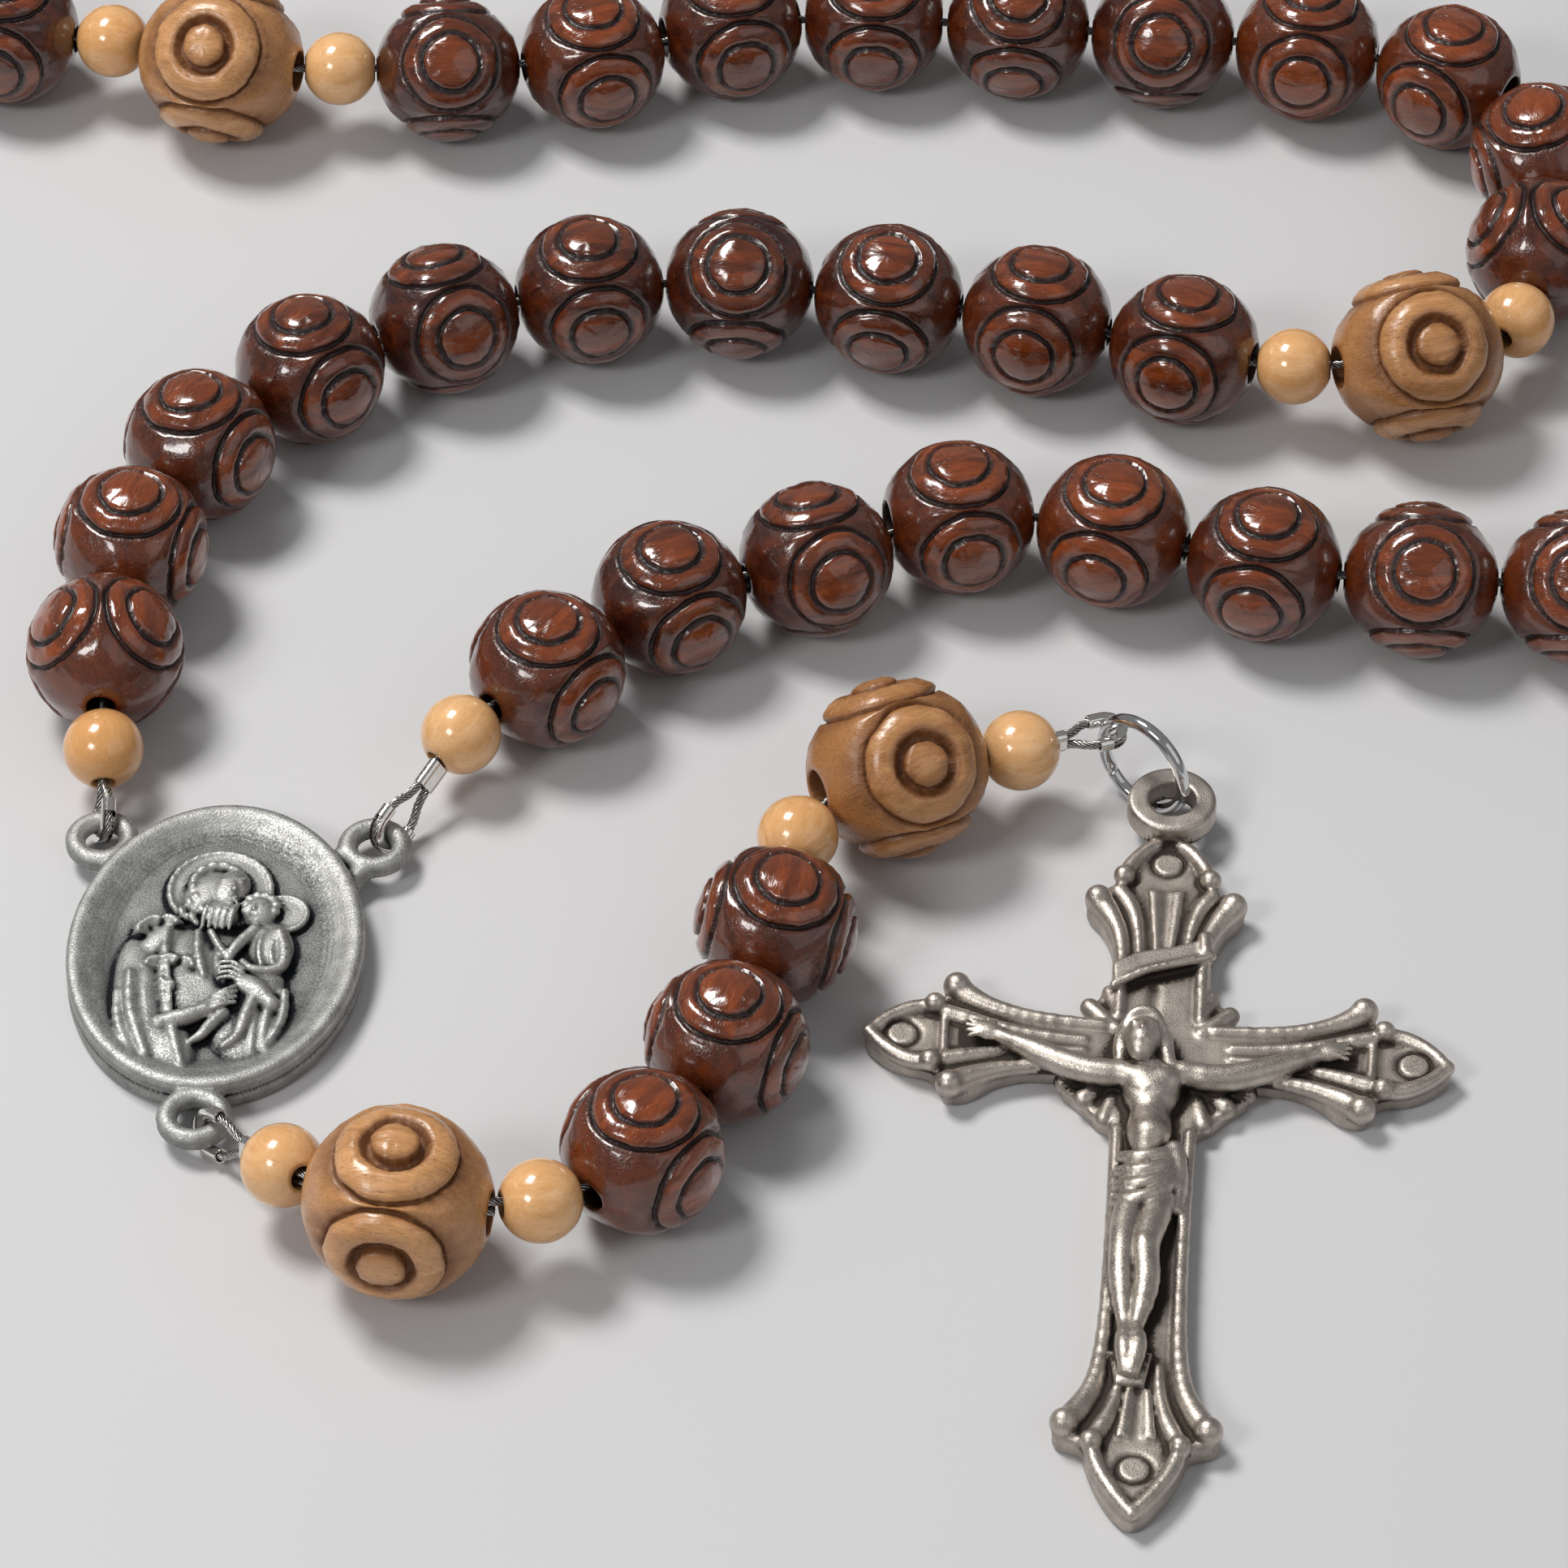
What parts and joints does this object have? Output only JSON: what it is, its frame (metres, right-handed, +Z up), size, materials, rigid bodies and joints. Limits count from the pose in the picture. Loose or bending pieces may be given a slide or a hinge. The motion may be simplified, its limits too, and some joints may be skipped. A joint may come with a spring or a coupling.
{
  "type": "rosary",
  "caption": "Prayer beads on twisted steel cable: carved wooden beads, small spacer beads, an oval relief medal, a jump ring and a crucifix, lying coiled on a table.",
  "frame": {"origin": "centre of the base of the laid-out rosary, on the table under the middle of its bounding box", "axes": "+Z up from the table; +Y away from the viewer, towards the far rows of beads; +X to the viewer's right, towards the crucifix side"},
  "size_m": [0.1565, 0.1613, 0.0115],
  "materials": {
    "dark_wood": "glossy dark red-brown stain with lighter carved buttons",
    "tan_wood": "satin tan grain with carved rings",
    "small_wood": "glossy pale tan",
    "cable_steel": "twisted fine steel strands",
    "bright_tube": "bright thin tube",
    "bright_wire": "bright round wire",
    "antique_metal": "antiqued silver-grey relief with dark recesses",
    "warm_pewter": "satin warm pewter relief"
  },
  "bodies": {
    "loop": {"loop_cable": "cable_steel", "medal_left_guard": "bright_tube", "medal_left_crimp": "bright_tube", "medal_right_guard": "bright_tube", "medal_right_crimp": "bright_tube", "loop_spacers": "small_wood", "far_dark_beads": "dark_wood", "far_tan_beads": "tan_wood"},
    "medal": {"medal": "antique_metal"},
    "pendant": {"pendant_cable": "cable_steel", "medal_lower_guard": "bright_tube", "medal_lower_crimp": "bright_tube", "jump_ring_guard": "bright_tube", "jump_ring_crimp": "bright_tube", "pendant_spacers": "small_wood"},
    "jump_ring": {"jump_ring": "bright_wire"},
    "crucifix": {"crucifix": "warm_pewter"},
    "loop_dark_bead_01": {"loop_dark_bead_01": "dark_wood"},
    "loop_dark_bead_02": {"loop_dark_bead_02": "dark_wood"},
    "loop_dark_bead_03": {"loop_dark_bead_03": "dark_wood"},
    "loop_dark_bead_04": {"loop_dark_bead_04": "dark_wood"},
    "loop_dark_bead_05": {"loop_dark_bead_05": "dark_wood"},
    "loop_dark_bead_06": {"loop_dark_bead_06": "dark_wood"},
    "loop_dark_bead_07": {"loop_dark_bead_07": "dark_wood"},
    "loop_dark_bead_08": {"loop_dark_bead_08": "dark_wood"},
    "loop_dark_bead_09": {"loop_dark_bead_09": "dark_wood"},
    "loop_dark_bead_10": {"loop_dark_bead_10": "dark_wood"},
    "loop_dark_bead_11": {"loop_dark_bead_11": "dark_wood"},
    "loop_dark_bead_12": {"loop_dark_bead_12": "dark_wood"},
    "loop_dark_bead_13": {"loop_dark_bead_13": "dark_wood"},
    "loop_dark_bead_14": {"loop_dark_bead_14": "dark_wood"},
    "loop_dark_bead_15": {"loop_dark_bead_15": "dark_wood"},
    "loop_dark_bead_16": {"loop_dark_bead_16": "dark_wood"},
    "loop_dark_bead_17": {"loop_dark_bead_17": "dark_wood"},
    "loop_dark_bead_18": {"loop_dark_bead_18": "dark_wood"},
    "loop_dark_bead_19": {"loop_dark_bead_19": "dark_wood"},
    "loop_dark_bead_20": {"loop_dark_bead_20": "dark_wood"},
    "loop_dark_bead_21": {"loop_dark_bead_21": "dark_wood"},
    "loop_dark_bead_22": {"loop_dark_bead_22": "dark_wood"},
    "loop_dark_bead_23": {"loop_dark_bead_23": "dark_wood"},
    "loop_dark_bead_24": {"loop_dark_bead_24": "dark_wood"},
    "loop_dark_bead_25": {"loop_dark_bead_25": "dark_wood"},
    "loop_dark_bead_26": {"loop_dark_bead_26": "dark_wood"},
    "loop_dark_bead_27": {"loop_dark_bead_27": "dark_wood"},
    "loop_dark_bead_28": {"loop_dark_bead_28": "dark_wood"},
    "loop_tan_bead_1": {"loop_tan_bead_1": "tan_wood"},
    "loop_tan_bead_2": {"loop_tan_bead_2": "tan_wood"},
    "pendant_dark_bead_1": {"pendant_dark_bead_1": "dark_wood"},
    "pendant_dark_bead_2": {"pendant_dark_bead_2": "dark_wood"},
    "pendant_dark_bead_3": {"pendant_dark_bead_3": "dark_wood"},
    "pendant_tan_bead_1": {"pendant_tan_bead_1": "tan_wood"},
    "pendant_tan_bead_2": {"pendant_tan_bead_2": "tan_wood"}
  },
  "joints": [
    {"name": "medal_tilt", "type": "hinge", "parent": "loop", "child": "medal", "pos_m": [-0.0482, -0.02505, 0.0017], "axis": [-0.9994, 0.0336, 0], "range_deg": [0, 50]},
    {"name": "pendant_level", "type": "hinge", "parent": "medal", "child": "pendant", "pos_m": [-0.0396, -0.05128, 0.0017], "axis": [-0.9994, 0.0336, 0], "range_deg": [-50, 0]},
    {"name": "jump_ring_swing", "type": "hinge", "parent": "pendant", "child": "jump_ring", "pos_m": [0.01475, -0.01898, 0.0046], "axis": [0, 0, 1], "range_deg": [-3, 15]},
    {"name": "crucifix_swing", "type": "hinge", "parent": "jump_ring", "child": "crucifix", "pos_m": [0.0189, -0.02325, 0.0021], "axis": [0, 0, 1], "range_deg": [-2.5, 35]},
    {"name": "loop_dark_bead_01_spin", "type": "hinge", "parent": "loop", "child": "loop_dark_bead_01", "pos_m": [-0.04876, -0.01336, 0.005], "axis": [-0.0216, 0.999, 0.0388], "continuous": true},
    {"name": "loop_dark_bead_02_spin", "type": "hinge", "parent": "loop", "child": "loop_dark_bead_02", "pos_m": [-0.04783, -0.00329, 0.005], "axis": [0.27, 0.9629, 0], "continuous": true},
    {"name": "loop_dark_bead_03_spin", "type": "hinge", "parent": "loop", "child": "loop_dark_bead_03", "pos_m": [-0.04404, 0.00608, 0.005], "axis": [0.5498, 0.8353, 0], "continuous": true},
    {"name": "loop_dark_bead_04_spin", "type": "hinge", "parent": "loop", "child": "loop_dark_bead_04", "pos_m": [-0.03726, 0.01357, 0.005], "axis": [0.778, 0.6282, 0], "continuous": true},
    {"name": "loop_dark_bead_05_spin", "type": "hinge", "parent": "loop", "child": "loop_dark_bead_05", "pos_m": [-0.0286, 0.01878, 0.005], "axis": [0.9066, 0.4219, 0], "continuous": true},
    {"name": "loop_dark_bead_06_spin", "type": "hinge", "parent": "loop", "child": "loop_dark_bead_06", "pos_m": [-0.01898, 0.02189, 0.005], "axis": [0.9765, 0.2154, 0], "continuous": true},
    {"name": "loop_dark_bead_07_spin", "type": "hinge", "parent": "loop", "child": "loop_dark_bead_07", "pos_m": [-0.00891, 0.02272, 0.005], "axis": [0.9982, -0.0603, 0], "continuous": true},
    {"name": "loop_dark_bead_08_spin", "type": "hinge", "parent": "loop", "child": "loop_dark_bead_08", "pos_m": [0.00111, 0.02138, 0.005], "axis": [0.9859, -0.1673, 0], "continuous": true},
    {"name": "loop_dark_bead_09_spin", "type": "hinge", "parent": "loop", "child": "loop_dark_bead_09", "pos_m": [0.01101, 0.01937, 0.005], "axis": [0.9753, -0.2211, 0], "continuous": true},
    {"name": "loop_dark_bead_10_spin", "type": "hinge", "parent": "loop", "child": "loop_dark_bead_10", "pos_m": [0.02075, 0.01669, 0.005], "axis": [0.9433, -0.331, 0.0261], "continuous": true},
    {"name": "loop_dark_bead_11_spin", "type": "hinge", "parent": "loop", "child": "loop_dark_bead_11", "pos_m": [0.04516, 0.02704, 0.005], "axis": [0.1811, 0.9835, 0], "continuous": true},
    {"name": "loop_dark_bead_12_spin", "type": "hinge", "parent": "loop", "child": "loop_dark_bead_12", "pos_m": [0.04593, 0.03711, 0.005], "axis": [-0.1932, 0.9812, 0], "continuous": true},
    {"name": "loop_dark_bead_13_spin", "type": "hinge", "parent": "loop", "child": "loop_dark_bead_13", "pos_m": [0.03996, 0.04526, 0.005], "axis": [-0.8784, 0.4779, 0], "continuous": true},
    {"name": "loop_dark_bead_14_spin", "type": "hinge", "parent": "loop", "child": "loop_dark_bead_14", "pos_m": [0.0303, 0.04822, 0.005], "axis": [-0.9883, 0.1527, 0], "continuous": true},
    {"name": "loop_dark_bead_15_spin", "type": "hinge", "parent": "loop", "child": "loop_dark_bead_15", "pos_m": [0.02026, 0.04937, 0.005], "axis": [-0.9966, 0.0821, 0], "continuous": true},
    {"name": "loop_dark_bead_16_spin", "type": "hinge", "parent": "loop", "child": "loop_dark_bead_16", "pos_m": [0.01018, 0.05018, 0.005], "axis": [-0.9972, 0.0747, 0], "continuous": true},
    {"name": "loop_dark_bead_17_spin", "type": "hinge", "parent": "loop", "child": "loop_dark_bead_17", "pos_m": [0.0001, 0.05087, 0.005], "axis": [-0.9979, 0.0644, 0], "continuous": true},
    {"name": "loop_dark_bead_18_spin", "type": "hinge", "parent": "loop", "child": "loop_dark_bead_18", "pos_m": [-0.00994, 0.04974, 0.005], "axis": [-0.9555, -0.295, 0], "continuous": true},
    {"name": "loop_dark_bead_19_spin", "type": "hinge", "parent": "loop", "child": "loop_dark_bead_19", "pos_m": [-0.01944, 0.0463, 0.005], "axis": [-0.967, -0.2546, 0.0085], "continuous": true},
    {"name": "loop_dark_bead_20_spin", "type": "hinge", "parent": "loop", "child": "loop_dark_bead_20", "pos_m": [-0.02943, 0.04479, 0.005], "axis": [-0.9942, -0.1037, 0.0279], "continuous": true},
    {"name": "loop_dark_bead_21_spin", "type": "hinge", "parent": "loop", "child": "loop_dark_bead_21", "pos_m": [-0.02065, -0.0144, 0.005], "axis": [-0.6932, -0.7208, 0], "continuous": true},
    {"name": "loop_dark_bead_22_spin", "type": "hinge", "parent": "loop", "child": "loop_dark_bead_22", "pos_m": [-0.01301, -0.0078, 0.005], "axis": [-0.8827, -0.4698, 0], "continuous": true},
    {"name": "loop_dark_bead_23_spin", "type": "hinge", "parent": "loop", "child": "loop_dark_bead_23", "pos_m": [-0.00362, -0.00406, 0.005], "axis": [-0.9223, -0.3866, 0], "continuous": true},
    {"name": "loop_dark_bead_24_spin", "type": "hinge", "parent": "loop", "child": "loop_dark_bead_24", "pos_m": [0.0056, 0.0001, 0.005], "axis": [-0.9844, -0.1758, 0], "continuous": true},
    {"name": "loop_dark_bead_25_spin", "type": "hinge", "parent": "loop", "child": "loop_dark_bead_25", "pos_m": [0.01564, -0.00103, 0.005], "axis": [-0.9498, 0.3129, 0], "continuous": true},
    {"name": "loop_dark_bead_26_spin", "type": "hinge", "parent": "loop", "child": "loop_dark_bead_26", "pos_m": [0.0253, -0.004, 0.005], "axis": [-0.9642, 0.2652, 0], "continuous": true},
    {"name": "loop_dark_bead_27_spin", "type": "hinge", "parent": "loop", "child": "loop_dark_bead_27", "pos_m": [0.03533, -0.0052, 0.005], "axis": [-0.9999, 0.016, 0], "continuous": true},
    {"name": "loop_dark_bead_28_spin", "type": "hinge", "parent": "loop", "child": "loop_dark_bead_28", "pos_m": [0.04543, -0.00568, 0.005], "axis": [-0.9963, 0.0857, 0], "continuous": true},
    {"name": "loop_tan_bead_1_spin", "type": "hinge", "parent": "loop", "child": "loop_tan_bead_1", "pos_m": [0.03616, 0.01544, 0.00575], "axis": [0.9652, 0.26, -0.0272], "continuous": true},
    {"name": "loop_tan_bead_2_spin", "type": "hinge", "parent": "loop", "child": "loop_tan_bead_2", "pos_m": [-0.04509, 0.04446, 0.00575], "axis": [-0.9737, 0.2258, -0.0289], "continuous": true},
    {"name": "pendant_dark_bead_1_spin", "type": "hinge", "parent": "pendant", "child": "pendant_dark_bead_1", "pos_m": [-0.01365, -0.05518, 0.005], "axis": [0.6229, 0.7815, -0.0359], "continuous": true},
    {"name": "pendant_dark_bead_2_spin", "type": "hinge", "parent": "pendant", "child": "pendant_dark_bead_2", "pos_m": [-0.00875, -0.04634, 0.005], "axis": [0.378, 0.9258, 0], "continuous": true},
    {"name": "pendant_dark_bead_3_spin", "type": "hinge", "parent": "pendant", "child": "pendant_dark_bead_3", "pos_m": [-0.00591, -0.03664, 0.005], "axis": [0.1841, 0.9827, 0.0189], "continuous": true},
    {"name": "pendant_tan_bead_1_spin", "type": "hinge", "parent": "pendant", "child": "pendant_tan_bead_1", "pos_m": [-0.0279, -0.06015, 0.00575], "axis": [0.9838, -0.1773, 0.0264], "continuous": true},
    {"name": "pendant_tan_bead_2_spin", "type": "hinge", "parent": "pendant", "child": "pendant_tan_bead_2", "pos_m": [0.00155, -0.02363, 0.00575], "axis": [0.8994, 0.4348, -0.0457], "continuous": true}
  ],
  "couplings": [
    {"joint": "pendant_level", "follows": "medal_tilt", "ratio": -1}
  ]
}
